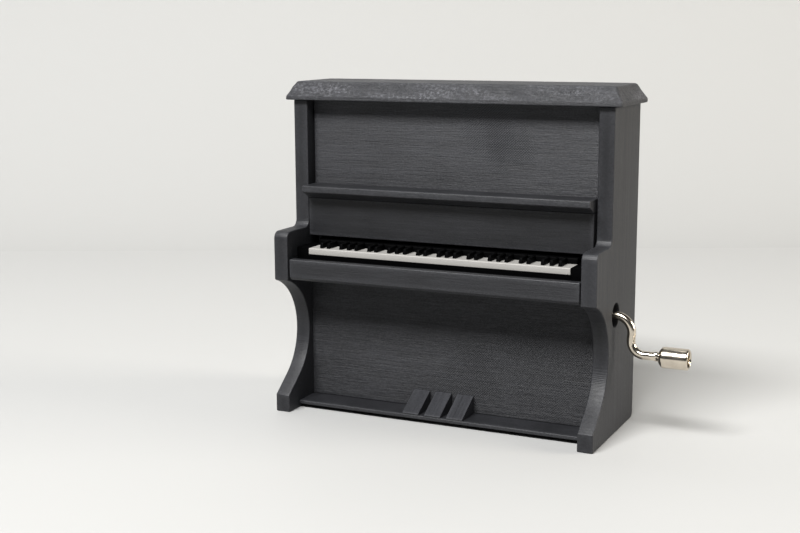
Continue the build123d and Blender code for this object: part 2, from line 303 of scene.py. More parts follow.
def node(tree, kind, inputs=None, **settings):
    """A node with its settings and unlinked inputs filled in."""
    made = tree.nodes.new(kind)
    for key, value in settings.items():
        setattr(made, key, value)
    for key, value in (inputs or {}).items():
        if isinstance(value, bpy.types.NodeSocket):
            tree.links.new(value, made.inputs[key])
        else:
            made.inputs[key].default_value = value
    return made


def math_node(tree, operation, a, b=0.0, clamp=False):
    """Result of a sum, product or other operation on two numbers or sockets."""
    made = tree.nodes.new("ShaderNodeMath")
    made.operation = operation
    made.use_clamp = clamp
    for index, value in enumerate((a, b)):
        if isinstance(value, bpy.types.NodeSocket):
            tree.links.new(value, made.inputs[index])
        else:
            made.inputs[index].default_value = value
    return made.outputs[0]


def mixed(tree, factor, a, b):
    """Colour mix of a and b."""
    made = tree.nodes.new("ShaderNodeMix")
    made.data_type = "RGBA"
    made.clamp_factor = True
    for key, value in (("Factor", factor), ("A", a), ("B", b)):
        socket = next(s for s in made.inputs if s.name == key and s.type == (
            "VALUE" if key == "Factor" else "RGBA"))
        if isinstance(value, bpy.types.NodeSocket):
            tree.links.new(value, socket)
        else:
            socket.default_value = value if key == "Factor" else (*value[:3], 1.0)
    return next(s for s in made.outputs if s.type == "RGBA")


def ramp(tree, value, low, high, out_low=0.0, out_high=1.0):
    """Straight ramp from low..high to out_low..out_high, held at both ends."""
    made = tree.nodes.new("ShaderNodeMapRange")
    tree.links.new(value, made.inputs["Value"])
    for key, number in (("From Min", low), ("From Max", high), ("To Min", out_low),
                        ("To Max", out_high)):
        made.inputs[key].default_value = number
    return made.outputs["Result"]


def stretched_noise(tree, coordinates, scale, detail=3.0, turn=(0.0, 0.0, 0.0), roughness=0.5):
    """Noise whose size along X, Y and Z is 1 / scale, after an optional turn."""
    place = node(tree, "ShaderNodeMapping", {"Vector": coordinates})
    place.inputs["Scale"].default_value = scale
    place.inputs["Rotation"].default_value = turn
    grain = node(tree, "ShaderNodeTexNoise", {"Vector": place.outputs["Vector"]})
    grain.inputs["Scale"].default_value = 1.0
    grain.inputs["Detail"].default_value = detail
    grain.inputs["Roughness"].default_value = roughness
    return grain.outputs["Fac"]


def lines_along(tree, coordinates, axis, spacing, wobble=0.6, turn=0.0):
    """Fine even ridges, spacing apart along one axis, as printed layers leave."""
    place = node(tree, "ShaderNodeMapping", {"Vector": coordinates})
    place.inputs["Rotation"].default_value = (0.0, turn, 0.0)
    wave = node(tree, "ShaderNodeTexWave", {"Vector": place.outputs["Vector"]},
                wave_type="BANDS", bands_direction=axis, wave_profile="SIN")
    wave.inputs["Scale"].default_value = 0.314 / spacing
    wave.inputs["Distortion"].default_value = wobble
    wave.inputs["Detail"].default_value = 1.0
    wave.inputs["Detail Scale"].default_value = 0.2
    return wave.outputs["Fac"]


def add_relief(tree, shader, height, strength, depth):
    """Fine relief on a surface, depth metres deep, from a height."""
    bump = node(tree, "ShaderNodeBump", {"Height": height, "Strength": strength, "Distance": depth})
    tree.links.new(bump.outputs["Normal"], shader.inputs["Normal"])


FILL_PITCH = 0.0006
RISING_FILL, FALLING_FILL = math.radians(-48), math.radians(45)
CHALK_COLOUR = (0.30, 0.30, 0.33)
STEEL_COLOUR = (0.52, 0.53, 0.54)
BRASS_COLOUR = (0.68, 0.50, 0.24)
ZINC_COLOUR = (0.42, 0.42, 0.41)
STREAKS = {
    "Z": (90.0, 90.0, 2100.0),
    "X": (1900.0, 60.0, 25.0),
    "Y": (60.0, 1900.0, 25.0),
}


def plastic(name, layer_axis, look, fill_centres=(), wear_and_sheen=1.0, painted_light_scale=1.0, patches=0.0,
            coarse=1.0):
    """Grey printed plastic: even layer ridges and long uneven streaks across layer_axis, a
    slanted fill pattern around the given centres, blotches, and pale edges from the edge mark:
    real rubbed wear on rims, and painted sheen where the lid marks its whole top. The
    brightness scale makes the whole grey lighter or darker per piece: painted light and painted
    shade."""
    material, tree, shader = new_material(name)
    here = tree.nodes.new("ShaderNodeTexCoord").outputs["Object"]
    ridges = lines_along(tree, here, layer_axis, look.layer)
    streaks = stretched_noise(tree, here, STREAKS[layer_axis], detail=4.0, roughness=0.65)
    wide = tuple(v / 5 if v > 1000 else v / 2 for v in STREAKS[layer_axis])
    bands = stretched_noise(tree, here, wide, detail=2.0)
    blotch = stretched_noise(tree, here, (70.0, 70.0, 70.0), detail=3.0)
    grit = stretched_noise(tree, here, (1500.0, 1500.0, 2100.0), detail=3.0)
    height = math_node(tree, "MULTIPLY", ridges, 0.35 * coarse)
    height = math_node(tree, "ADD", height, math_node(tree, "MULTIPLY", streaks, 1.5 * coarse))
    height = math_node(tree, "ADD", height, math_node(tree, "MULTIPLY", bands, 0.8 * coarse))
    height = math_node(tree, "ADD", height, math_node(tree, "MULTIPLY", grit, 0.5))
    tone = math_node(tree, "ADD", ramp(tree, streaks, 0.3, 0.7, -0.2, 0.2),
                     ramp(tree, bands, 0.3, 0.7, -0.14, 0.14))
    tone = math_node(tree, "ADD", tone, ramp(tree, blotch, 0.3, 0.7, -0.12, 0.12))
    tone = math_node(tree, "ADD", tone, ramp(tree, grit, 0.3, 0.7, -0.16 * coarse,
                                             0.16 * coarse))
    for centre, radius, crossed in fill_centres:
        spot = (np.array(centre) * MM + CASE_ORIGIN).tolist()
        away = node(tree, "ShaderNodeVectorMath", {0: here}, operation="DISTANCE")
        away.inputs[1].default_value = spot
        ragged = math_node(tree, "ADD", away.outputs["Value"],
                           ramp(tree, blotch, 0.2, 0.8, -0.008, 0.008))
        near = ramp(tree, ragged, radius * MM, radius * MM * 0.45)
        weave = lines_along(tree, here, "X", FILL_PITCH, wobble=0.8, turn=RISING_FILL)
        if crossed:
            falling = lines_along(tree, here, "X", FILL_PITCH, wobble=0.8, turn=FALLING_FILL)
            weave = math_node(tree, "MULTIPLY", weave, ramp(tree, falling, 0.0, 1.0, 0.2, 1.0))
        height = math_node(tree, "ADD", height, math_node(
            tree, "MULTIPLY", math_node(tree, "MULTIPLY", weave, near), 1.3))
        tone = math_node(tree, "ADD", tone, math_node(
            tree, "MULTIPLY", ramp(tree, weave, 0.15, 0.75, -0.25, 0.6), near))
    # Pale mark from the edge attribute: real rubbed wear on rims and corners, and painted sheen on
    # the lid's flat top, which the lid marks as a whole.
    edge = node(tree, "ShaderNodeAttribute", attribute_name="edge").outputs["Fac"]
    rubbed_and_sheen = math_node(tree, "MULTIPLY", edge, ramp(tree, grit, 0.35, 0.65, 0.3, 1.0))
    rubbed_and_sheen = math_node(tree, "MULTIPLY", rubbed_and_sheen, look.wear_and_sheen * wear_and_sheen, clamp=True)
    base = tuple(look.grey)
    # Painted light and painted shade: the brightness scale turns one grey plastic into lit and
    # shaded copies.
    dark = tuple(v * 0.6 * painted_light_scale for v in base)
    light = tuple(v * 1.5 * painted_light_scale for v in base)
    colour = mixed(tree, math_node(tree, "ADD", tone, 0.5, clamp=True), dark, light)
    colour = mixed(tree, rubbed_and_sheen, colour, tuple(v * 2.1 + 0.01 for v in base))
    if patches:
        chalk = stretched_noise(tree, here, (900.0, 900.0, 1500.0), detail=4.0, roughness=0.7)
        area = stretched_noise(tree, here, (40.0, 60.0, 260.0), detail=2.0)
        worn = node(tree, "ShaderNodeAttribute", attribute_name="chalk").outputs["Fac"]
        mask = math_node(tree, "MULTIPLY", ramp(tree, chalk, 0.45, 0.68),
                         ramp(tree, area, 0.38, 0.62, 0.15, 1.0))
        mask = math_node(tree, "MULTIPLY", mask, worn)
        mask = math_node(tree, "MULTIPLY", mask, patches, clamp=True)
        colour = mixed(tree, mask, colour, CHALK_COLOUR)
        height = math_node(tree, "ADD", height, math_node(tree, "MULTIPLY", chalk, 3.0))
    tree.links.new(colour, shader.inputs["Base Color"])
    rough = math_node(tree, "ADD", ramp(tree, streaks, 0.3, 0.7, 0.42, 0.54),
                      math_node(tree, "MULTIPLY", rubbed_and_sheen, 0.08))
    tree.links.new(rough, shader.inputs["Roughness"])
    shader.inputs["Specular IOR Level"].default_value = 0.5
    add_relief(tree, shader, height, 0.8, 0.00007)
    return material


def key_plastic(name, colour, rough, bump_depth, variation, gloss):
    """Smooth key plastic with faint print grain, slight colour drift and uneven gloss."""
    material, tree, shader = new_material(name)
    here = tree.nodes.new("ShaderNodeTexCoord").outputs["Object"]
    grain = stretched_noise(tree, here, (1200.0, 1200.0, 2600.0), detail=3.0)
    drift = stretched_noise(tree, here, (60.0, 200.0, 200.0), detail=3.0)
    tone = math_node(tree, "ADD", ramp(tree, grain, 0.3, 0.7, 0.2, 0.6),
                     ramp(tree, drift, 0.3, 0.7, 0.0, 0.4))
    low = tuple(v * (1 - variation) for v in colour)
    high = tuple(min(1.0, v * (1 + variation)) for v in colour)
    tree.links.new(mixed(tree, tone, low, high), shader.inputs["Base Color"])
    tree.links.new(ramp(tree, grain, 0.3, 0.7, rough - 0.06, rough + 0.08),
                   shader.inputs["Roughness"])
    add_relief(tree, shader, grain, 0.4, bump_depth)
    shader.inputs["Specular IOR Level"].default_value = gloss
    return material


def metal(name, colour, rough, streak_scale, depth=0.000006, spread=0.06):
    """Metal with drawn or turned streaks, small stains and uneven gloss."""
    material, tree, shader = new_material(name)
    here = tree.nodes.new("ShaderNodeTexCoord").outputs["Object"]
    streaks = stretched_noise(tree, here, streak_scale, detail=3.0)
    stains = stretched_noise(tree, here, (420.0, 420.0, 420.0), detail=4.0)
    shader.inputs["Metallic"].default_value = 1.0
    dark = tuple(v * 0.86 for v in colour)
    tree.links.new(mixed(tree, ramp(tree, stains, 0.35, 0.65), dark, colour),
                   shader.inputs["Base Color"])
    tree.links.new(math_node(tree, "ADD", ramp(tree, streaks, 0.3, 0.7, rough, rough + spread),
                             ramp(tree, stains, 0.4, 0.7, 0.0, spread)),
                   shader.inputs["Roughness"])
    add_relief(tree, shader, streaks, 0.35, depth)
    return material


MATERIALS = {}


def material_for(key):
    """Each finish is made once, when first asked for."""
    if key not in MATERIALS:
        scene = bpy.context.scene
        look = scene.piano_print
        keys = scene.piano_keys
        plate = scene.piano_metal
        makers = {
            "level": lambda: plastic("grey_print_level_layers", "Z", look),
            # Brightness scales below are painted light: the panels, lid and pedals are made paler
            # for the light they catch, and the fallboard darker as painted shade.
            "panel": lambda: plastic(
                "grey_print_upper_panel", "Z", look,
                fill_centres=(((14.0, 3.6, 93.0), 13.0, False), ((22.0, 3.6, 88.0), 9.0, True)),
                wear_and_sheen=0.5, coarse=2.2, painted_light_scale=1.55),
            "lower": lambda: plastic(
                "grey_print_lower_panel", "Z", look,
                fill_centres=(((33.0, 1.2, 18.0), 24.0, True), ((6.0, 1.2, 14.0), 16.0, True)),
                wear_and_sheen=0.5, coarse=2.2, painted_light_scale=1.3),
            "quiet_painted_shade": lambda: plastic("grey_print_fallboard", "Z", look, painted_light_scale=0.8, coarse=0.6),
            "cheek": lambda: plastic("grey_print_cheek", "Y", look, wear_and_sheen=0.8),
            "lid": lambda: plastic("grey_print_lid", "Z", look, wear_and_sheen=1.3, painted_light_scale=1.25,
                                   patches=0.55, coarse=1.6),
            "pedal": lambda: plastic("grey_print_pedals", "X", look, wear_and_sheen=0.9, painted_light_scale=1.7),
            "ivory": lambda: key_plastic("ivory_keys", tuple(keys.ivory), 0.4, 0.00002, 0.06, 0.4),
            "ebony": lambda: key_plastic("ebony_keys", tuple(keys.ebony), 0.5, 0.00002, 0.3, 0.06),
            "nickel": lambda: metal("nickel_plate", tuple(plate.nickel), plate.shine,
                                    (300.0, 2600.0, 2600.0)),
            "steel": lambda: metal("brushed_steel", STEEL_COLOUR, 0.3,
                                   (400.0, 400.0, 4000.0), 0.00001, 0.1),
            "brass": lambda: metal("satin_brass", BRASS_COLOUR, 0.28,
                                   (3000.0, 300.0, 3000.0), 0.00001, 0.1),
            "zinc": lambda: metal("cast_zinc", ZINC_COLOUR, 0.42,
                                  (900.0, 900.0, 900.0), 0.00004, 0.15),
        }
        MATERIALS[key] = makers[key]()
    return MATERIALS[key]


# ---------------------------------------------------------------- cheeks
KNEE_Y, KNEE_Z, KNEE_R = -20.0, 26.4, 19.0
ARM_FRONT, ARM_TOP, ARM_BOTTOM, ARM_STEP = -14.8, 60.8, 44.8, 0.8
FOOT_FRONT, FOOT_HEIGHT = -15.5, 5.8
CRANK_Y, CRANK_Z, CRANK_HOLE = 5.7, 38.5, 3.85
HEEL_R, ARM_R, EDGE_R, TOE_R = 2.2, 2.4, 0.45, 0.5


def cheek_outline(top):
    """Side view of a cheek in (y, z): straight back, tall front, arm with rounded corners, knee
    as an arc centre + R (cos a, sin a), and the foot where its tangent ends."""
    start = math.acos((ARM_FRONT + ARM_STEP - KNEE_Y) / KNEE_R)
    dy, dz = FOOT_FRONT - KNEE_Y, FOOT_HEIGHT - KNEE_Z
    stop = math.atan2(dz, dy) + math.acos(KNEE_R / math.hypot(dy, dz))
    angles = np.linspace(start, stop, 40)
    knee = np.stack([KNEE_Y + KNEE_R * np.cos(angles), KNEE_Z + KNEE_R * np.sin(angles)], 1)
    corners = [(CASE_DEPTH, 0.0), (CASE_DEPTH, top), (0.0, top), (0.0, ARM_TOP),
               (ARM_FRONT, ARM_TOP), (ARM_FRONT, ARM_BOTTOM)]
    radii = [HEEL_R, EDGE_R, EDGE_R, ARM_R, ARM_R, EDGE_R]
    feet = [(FOOT_FRONT, FOOT_HEIGHT), (FOOT_FRONT, 0.0)]
    corners = np.array(corners + knee.tolist() + feet)
    radii = np.array(radii + [0.0] * len(knee) + [TOE_R, EDGE_R])
    outline, mark = rounded_outline(corners, np.maximum(radii, 0.02), 1.6)
    hard = radii > 0.25
    gap = np.linalg.norm(outline[:, None, :] - corners[None, hard, :], axis=2).min(axis=1)
    return outline, mark * (gap < 1.3)


def build_cheek(name, hole):
    """Cheek plate: the side outline carried along X with rounded rims. With a hole, each flat
    side is two faces that meet on the level of the hole, and a short tube joins the rims."""
    low, high = case_mm(name)
    look = bpy.context.scene.piano_print
    rim = look.rounding / MM
    outline, corner = cheek_outline(high[2])
    points, quads, first, last, ends = bar_grid(outline, low[0], high[0], rim, 2.5)
    rows = len(points) // len(outline)
    edge = np.maximum(ends, np.tile(corner, rows))
    faces = quads.tolist()
    if hole:
        count = len(outline)
        level = np.abs(outline[:, 1] - CRANK_Z)
        front = int(np.argmin(level + 100 * (outline[:, 0] > 10)))
        back = int(np.argmin(level + 100 * (outline[:, 0] < 20)))
        steps = 48
        angle = np.arange(steps) * 2 * math.pi / steps
        ring = np.stack([CRANK_Y + CRANK_HOLE * np.cos(angle),
                         CRANK_Z + CRANK_HOLE * np.sin(angle)], axis=1)
        wall, wall_quads, _, _, _ = bar_grid(ring, low[0], high[0], 0.25, 2.5, flared=True)
        offset = len(points)
        points = np.vstack([points, wall])
        edge = np.concatenate([edge, np.zeros(len(wall))])
        faces += (wall_quads[:, ::-1] + offset).tolist()
        last_row = offset + len(wall) - steps
        half = steps // 2
        span = (back - front) % count
        up = (front + np.arange(span + 1)) % count
        down = (back + np.arange(count - span + 1)) % count
        over, under = (up, down) if outline[up, 1].mean() > CRANK_Z else (down, up)
        top_arc = np.arange(0, half + 1)
        low_arc = np.arange(half, steps + 1) % steps
        for base, ring_base, flip in ((0, offset, True), (len(outline) * (rows - 1),
                                                          last_row, False)):
            for part, arc in ((over, top_arc), (under, low_arc)):
                ends_back = outline[part[-1], 0] > CRANK_Y
                arc_order = arc if ends_back == (arc is top_arc) else arc[::-1]
                face = (base + part).tolist() + (ring_base + arc_order).tolist()
                faces.append(face[::-1] if flip else face)
    else:
        faces += [first.tolist(), last.tolist()]
    piece = put_mesh(name + "_print", points, faces, {"edge": edge})
    flatten_caps(piece)
    return piece


class PIANO_OT_cheeks(bpy.types.Operator):
    """Build both cheek plates, the right one with the crank hole"""

    bl_idname = "piano.cheeks"
    bl_label = "Cheeks"

    def execute(self, context):
        for name, hole in (("left_cheek", False), ("right_cheek", True)):
            piece = build_cheek(name, hole)
            lay_on(piece, name, "case", material_for("cheek"))
        return {"FINISHED"}


# ---------------------------------------------------------------- lid
LID_EDGE_ZONE, LID_CORNER_R = 4, 1.0


class PIANO_OT_lid(bpy.types.Operator):
    """Build the bevelled lid with its worn, slightly lumpy edges and a paler top that is painted
    sheen
    """

    bl_idname = "piano.lid"
    bl_label = "Lid"

    def execute(self, context):
        low, high = case_mm("lid")
        half_x, half_y = (high[0] - low[0]) / 2, (high[1] - low[1]) / 2
        middle = (low + high) / 2
        profile = np.array([
            (0.9, 0.0), (0.35, 0.0), (0.1, 0.1), (0.0, 0.35), (0.0, 1.05), (0.06, 1.35),
            (0.3, 1.75), (2.45, 5.35), (2.75, 5.8), (3.2, 6.03), (3.9, 6.1), (5.2, 6.1),
        ])
        # Paleness of the edge mark along the profile from bottom to top: real wear at the lower
        # edge and bevel, while the high values over the flat top are painted sheen.
        wear_and_sheen = np.array([0.2, 0.5, 0.7, 0.5, 0.2, 0.9, 0.35, 0.2, 0.7, 1.6, 1.8, 1.8])
        chalk = np.array([0.0, 0.1, 0.3, 0.3, 0.3, 1.0, 1.0, 0.55, 0.5, 0.3, 0.2, 0.1])
        stops = np.concatenate([[0], np.cumsum(np.linalg.norm(np.diff(profile, axis=0), axis=1))])
        fine = np.unique(np.concatenate([stops, np.linspace(0, stops[-1], 36)]))
        inset = np.interp(fine, stops, profile[:, 0])
        height = np.interp(fine, stops, profile[:, 1])
        worn = np.interp(fine, stops, wear_and_sheen)
        chalky = np.interp(fine, stops, chalk)
        base, _ = rounded_outline(
            [(-half_x, -half_y), (half_x, -half_y), (half_x, half_y), (-half_x, half_y)],
            [LID_CORNER_R] * 4, 0.9)
        reach = np.array([half_x, half_y])
        scale = (reach[None, :] - inset[:, None]) / reach
        plan = base[None, :, :] * scale[:, None, :]
        rise = np.broadcast_to(height[:, None, None], plan[:, :, :1].shape)
        points = np.concatenate([plan, rise], axis=2).reshape(-1, 3)
        points += (middle[0], middle[1], low[2])
        columns = len(base)
        out = points - (middle[0], middle[1], low[2] + 3.0)
        beyond = np.abs(out[:, :2]) - reach + LID_EDGE_ZONE
        out[:, :2] = np.sign(out[:, :2]) * np.maximum(beyond, 0)
        out /= np.linalg.norm(out, axis=1)[:, None] + 1e-6
        strength = np.repeat(np.clip(height / 1.5, 0, 1) * np.clip((6.2 - height) / 2, 0.1, 1),
                             columns)
        left_end = 1.0 + 1.6 * np.clip((-points[:, 0] - 45) / 10, 0, 1)
        lump = 0.10 * smooth_noise(points, 7.0, 3) + 0.05 * smooth_noise(points, 2.2, 4) - 0.09
        points += out * (lump * strength * left_end)[:, None]
        # The edge mark holds real edge wear and the painted sheen of the top.
        piece = put_mesh("lid_print", points, closed_faces(len(fine), columns), {
            "edge": np.repeat(worn, columns) * 0.6, "chalk": np.repeat(chalky, columns)})
        flatten_caps(piece)
        lay_on(piece, "lid", "case", material_for("lid"))
        return {"FINISHED"}


# ---------------------------------------------------------------- boards
WARP_LENGTH = 18.0


def build_bar(node_name, corners, radii, spacing=1.5, rim=None, warp=0.0, seed=1):
    """Straight board along X: a rounded (y, z) outline carried from end to end."""
    low, high = case_mm(node_name)
    rim = bpy.context.scene.piano_print.rounding / MM if rim is None else rim
    outline, corner = rounded_outline(corners, np.maximum(radii, rim + 0.05), spacing)
    if anticlockwise(outline)[0, 0] != outline[0, 0]:
        outline, corner = outline[::-1], corner[::-1]
    points, quads, first, last, ends = bar_grid(outline, low[0], high[0], rim, spacing)
    rows = len(points) // len(outline)
    if warp:
        points = sag(points, warp, WARP_LENGTH, seed, 1)
    faces = quads.tolist() + [first.tolist(), last.tolist()]
    piece = put_mesh(node_name + "_print", points, faces,
                     {"edge": np.maximum(ends, np.tile(corner, rows))})
    flatten_caps(piece)
    return piece


def box_corners(low, high):
    """The four (y, z) corners of a node's box."""
    return [(low[1], low[2]), (high[1], low[2]), (high[1], high[2]), (low[1], high[2])]


class PIANO_OT_boards(bpy.types.Operator):
    """Build the panels, the shelf, the fallboard, the key slip and the boards of the case"""

    bl_idname = "piano.boards"
    bl_label = "Panels and boards"

    def execute(self, context):
        plain = (
            ("upper_panel", "panel", 0.3), ("fallboard", "quiet_painted_shade", 0.3),
            ("lower_panel", "lower", 0.3), ("bottom_board", "level", 0.35),
            ("left_post", "level", 0.3), ("right_post", "level", 0.3),
        )
        for name, finish, radius in plain:
            low, high = case_mm(name)
            piece = build_bar(name, box_corners(low, high), [radius] * 4, rim=0.25)
            lay_on(piece, name, "case", material_for(finish))
        low, high = case_mm("music_shelf")
        front, back, top, under = low[1], high[1], high[2], low[2]
        corners = [(back, under), (back, top), (front, top), (front, top - 2.1), (-0.9, under)]
        piece = build_bar("music_shelf", corners[::-1], [0.4, 0.4, 0.45, 0.3, 0.2],
                          warp=0.05, seed=5)
        lay_on(piece, "music_shelf", "case", material_for("level"))
        low, high = case_mm("key_slip")
        corners = [(low[1] + 1.0, low[2]), (high[1], low[2]), (high[1], high[2]),
                   (low[1], high[2]), (low[1], low[2] + 1.0)]
        piece = build_bar("key_slip", corners, [0.2, 0.2, 0.35, 0.4, 0.25], warp=0.04, seed=6)
        lay_on(piece, "key_slip", "case", material_for("level"))
        return {"FINISHED"}


class PIANO_OT_pedals(bpy.types.Operator):
    """Build the three fixed pedal wedges"""

    bl_idname = "piano.pedals"
    bl_label = "Pedal wedges"

    def execute(self, context):
        for seed, name in enumerate(("left_pedal", "middle_pedal", "right_pedal")):
            low, high = case_mm(name)
            corners = [(low[1], low[2]), (high[1], low[2]), (high[1], high[2]),
                       (low[1], low[2] + 0.5)]
            piece = build_bar(name, corners, [0.18, 0.2, 0.3, 0.2], spacing=0.8, rim=0.12,
                              warp=0.05, seed=20 + seed)
            lay_on(piece, name, "case", material_for("pedal"))
        return {"FINISHED"}


# ---------------------------------------------------------------- keyboard
WHITE_KEYS = 35
SHARPS_IN_OCTAVE = np.array([1, 2, 4, 5, 6])
WHITE_PITCH = 2.48
SHARP_WIDTH, SHARP_SPREAD = 1.2, 0.3
SHARP_FRONT, SHARP_NOSE = -8.3, 0.5
RAIL_FRONT = -2.5


class PIANO_OT_keyboard(bpy.types.Operator):
    """Build the white strip, the comb of black keys and the black filler"""

    bl_idname = "piano.keyboard"
    bl_label = "Keyboard"

    def execute(self, context):
        low, high = case_mm("white_keys")
        piece = build_bar("white_keys", box_corners(low, high), [0.12, 0.2, 0.2, 0.3],
                          spacing=1.3, rim=0.15, warp=0.02, seed=9)
        lay_on(piece, "white_keys", "case", material_for("ivory"))
        octaves = np.arange(WHITE_KEYS // 7)[:, None] * 7
        spread = np.array([0, 0, -1, 0, 1]) * SHARP_SPREAD
        centres = (octaves + SHARPS_IN_OCTAVE - WHITE_KEYS / 2) * WHITE_PITCH + spread
        centres = centres.ravel()
        low, high = case_mm("black_keys")
        bottom, top = low[2], high[2]
        corners = [(SHARP_FRONT, bottom), (RAIL_FRONT + 0.6, bottom), (RAIL_FRONT + 0.6, top),
                   (SHARP_FRONT + SHARP_NOSE, top)]
        outline, _ = rounded_outline(corners, [0.26, 0.26, 0.26, 0.4], 1.2, steps=5)
        outline = anticlockwise(outline)
        finger, quads, first, last, _ = bar_grid(
            outline, -SHARP_WIDTH / 2, SHARP_WIDTH / 2, 0.22, 0.5, steps=4)
        taper = np.interp(finger[:, 2], [bottom, top], [1.0, 0.86])
        finger[:, 0] *= taper
        shift = np.zeros((len(centres), 1, 3))
        shift[:, 0, 0] = centres
        keys = (finger[None, :, :] + shift).reshape(-1, 3)
        step = np.arange(len(centres))[:, None, None] * len(finger)
        faces = (quads[None] + step).reshape(-1, 4).tolist()
        faces += (first[None, None] + step).reshape(len(centres), -1).tolist()
        faces += (last[None, None] + step).reshape(len(centres), -1).tolist()
        rail_corners = [(RAIL_FRONT, bottom), (high[1], bottom), (high[1], top),
                        (RAIL_FRONT, top)]
        rail_line, _ = rounded_outline(rail_corners, [0.2] * 4, 2.0, steps=3)
        rail, rail_quads, rail_first, rail_last, _ = bar_grid(
            anticlockwise(rail_line), low[0], high[0], 0.15, 3.0, steps=3)
        offset = len(keys)
        faces += (rail_quads + offset).tolist()
        faces += [(rail_first + offset).tolist(), (rail_last + offset).tolist()]
        piece = put_mesh("black_keys_comb", np.vstack([keys, rail]), faces)
        flatten_caps(piece)
        lay_on(piece, "black_keys", "case", material_for("ebony"))
        return {"FINISHED"}


# ---------------------------------------------------------------- crank
WIRE_R, UPPER_BEND, LOWER_BEND = 1.35, 5.2, 4.2
ARM_X, ARM_LEAN, CRANK_DROP = 60.2, 4.0, 11.8
WIRE_SIDES, KNOB_SIDES, HEAD_SIDES = 40, 96, 48
DENT_DEPTH, DENT_SPREAD = 0.35, 0.25


def tube(path, across, thick, sides):
    """Tube along a path in the plane y = const: path(v) + a(v) cos u Y + b(v) sin u N, where N is
    the path's normal in that plane."""
    tangent = np.gradient(path, axis=0)
    tangent /= np.linalg.norm(tangent, axis=1)[:, None]
    sideways = np.array([0.0, 1.0, 0.0])
    normal = np.cross(tangent, sideways)
    u = np.arange(sides) * 2 * math.pi / sides
    ring = (across[:, None, None] * np.cos(u)[None, :, None] * sideways
            + thick[:, None, None] * np.sin(u)[None, :, None] * normal[:, None, :])
    return (path[:, None, :] + ring).reshape(-1, 3)


def arc(centre, radius, start, stop, count):
    """Arc in the XZ plane: centre + R (cos a, 0, sin a), from one angle in degrees to another."""
    a = np.linspace(math.radians(start), math.radians(stop), count)
    return np.stack([centre[0] + radius * np.cos(a), np.full(count, centre[1]),
                     centre[2] + radius * np.sin(a)], axis=1)


def build_turned(name, profile, axis_z, sides, capped):
    """Turned piece about an X axis: (x, r cos u, r sin u), with r read along the profile. A capped
    piece has one face over each end, and any other profile runs back to its own start."""
    u = np.arange(sides) * 2 * math.pi / sides
    x, r = profile[:, 0], profile[:, 1]
    points = np.stack([
        np.broadcast_to(x[:, None], (len(x), sides)),
        CRANK_Y + r[:, None] * np.cos(u)[None, :],
        axis_z + r[:, None] * np.sin(u)[None, :],
    ], axis=2).reshape(-1, 3)
    if capped:
        faces = closed_faces(len(profile), sides)
    else:
        faces = (ring_faces(len(profile) + 1, sides) % len(points)).tolist()
    return put_mesh(name, points, faces)


def wire_path(start_x, end_x, low_z):
    """Middle line of the wire: level from the shaft, an arc down to the leaning arm, an arc back
    to level, and on to the end of the wire."""
    lean = math.radians(ARM_LEAN)
    both = UPPER_BEND + LOWER_BEND
    run = (CRANK_DROP - both * (1 + math.sin(lean))) / math.cos(lean)
    upper_x = ARM_X - UPPER_BEND
    lower_x = upper_x + both * math.cos(lean) - run * math.sin(lean)
    upper = arc((upper_x, CRANK_Y, CRANK_Z - UPPER_BEND), UPPER_BEND, 90, -ARM_LEAN, 24)
    lower = arc((lower_x, CRANK_Y, low_z + LOWER_BEND), LOWER_BEND, 180 - ARM_LEAN, 270, 24)
    corners = np.vstack([[(start_x, CRANK_Y, CRANK_Z)], upper, lower,
                         [(end_x, CRANK_Y, low_z)]])
    return np.vstack([resample(corners, 0.35), corners[-1:]])


def build_wire(low_z, knob_x):
    """Bent wire: a tube that is squeezed flatter just before the knob, where the ears are pressed,
    with a slight unevenness and one small dent: depth * exp(-distance^2 / spread)."""
    low, high = case_mm("crank")
    path = wire_path(low[0], high[0], low_z)
    start = knob_x - 1.55
    stop = knob_x - 0.45
    squeeze = np.clip((path[:, 0] - start) / 0.2, 0, 1) * np.clip(
        (stop - path[:, 0]) / 0.2, 0, 1) * (path[:, 2] < low_z + 1)
    across = WIRE_R * (1 - 0.22 * squeeze)
    thick = WIRE_R * (1 + 0.15 * squeeze)
    bulge = 0.02 * smooth_noise(path, 4.0, 12)
    points = tube(path, across + bulge, thick + bulge, WIRE_SIDES)
    dent = np.array([knob_x - 1.4, CRANK_Y - 0.8 * WIRE_R, low_z - 0.55 * WIRE_R])
    away = ((points - dent) ** 2).sum(axis=1)
    points[:, 1:] += (np.array([CRANK_Y, low_z]) - points[:, 1:]) * (
        DENT_DEPTH * np.exp(-away / DENT_SPREAD))[:, None]
    return put_mesh("crank_wire", points, closed_faces(len(path), WIRE_SIDES))


def build_knob(low_z, x0, x1, r):
    """Turned sleeve: chamfered neck, straight barrel, rounded rim, a cup and the bore."""
    bore = WIRE_R + 0.05
    profile = np.array([
        (x0, bore), (x0, bore + 0.25), (x0, r - 1.15), (x0 + 0.1, r - 0.95),
        (x0 + 0.85, r - 0.12), (x0 + 1.05, r - 0.02), (x0 + 1.3, r), (x0 + 2.5, r),
        (x1 - 2.5, r), (x1 - 0.6, r), (x1 - 0.3, r - 0.07), (x1 - 0.08, r - 0.28),
        (x1, r - 0.5), (x1 - 0.12, r - 0.72), (x1 - 0.4, r - 0.85), (x1 - 0.7, r - 0.87),
        (x0 + 5.4, r - 0.87), (x0 + 5.2, r - 1.0), (x0 + 5.2, bore + 0.1),
        (x0 + 5.1, bore), (x0 + 0.1, bore),
    ])
    return build_turned("knob_sleeve", profile, low_z, KNOB_SIDES, capped=False)


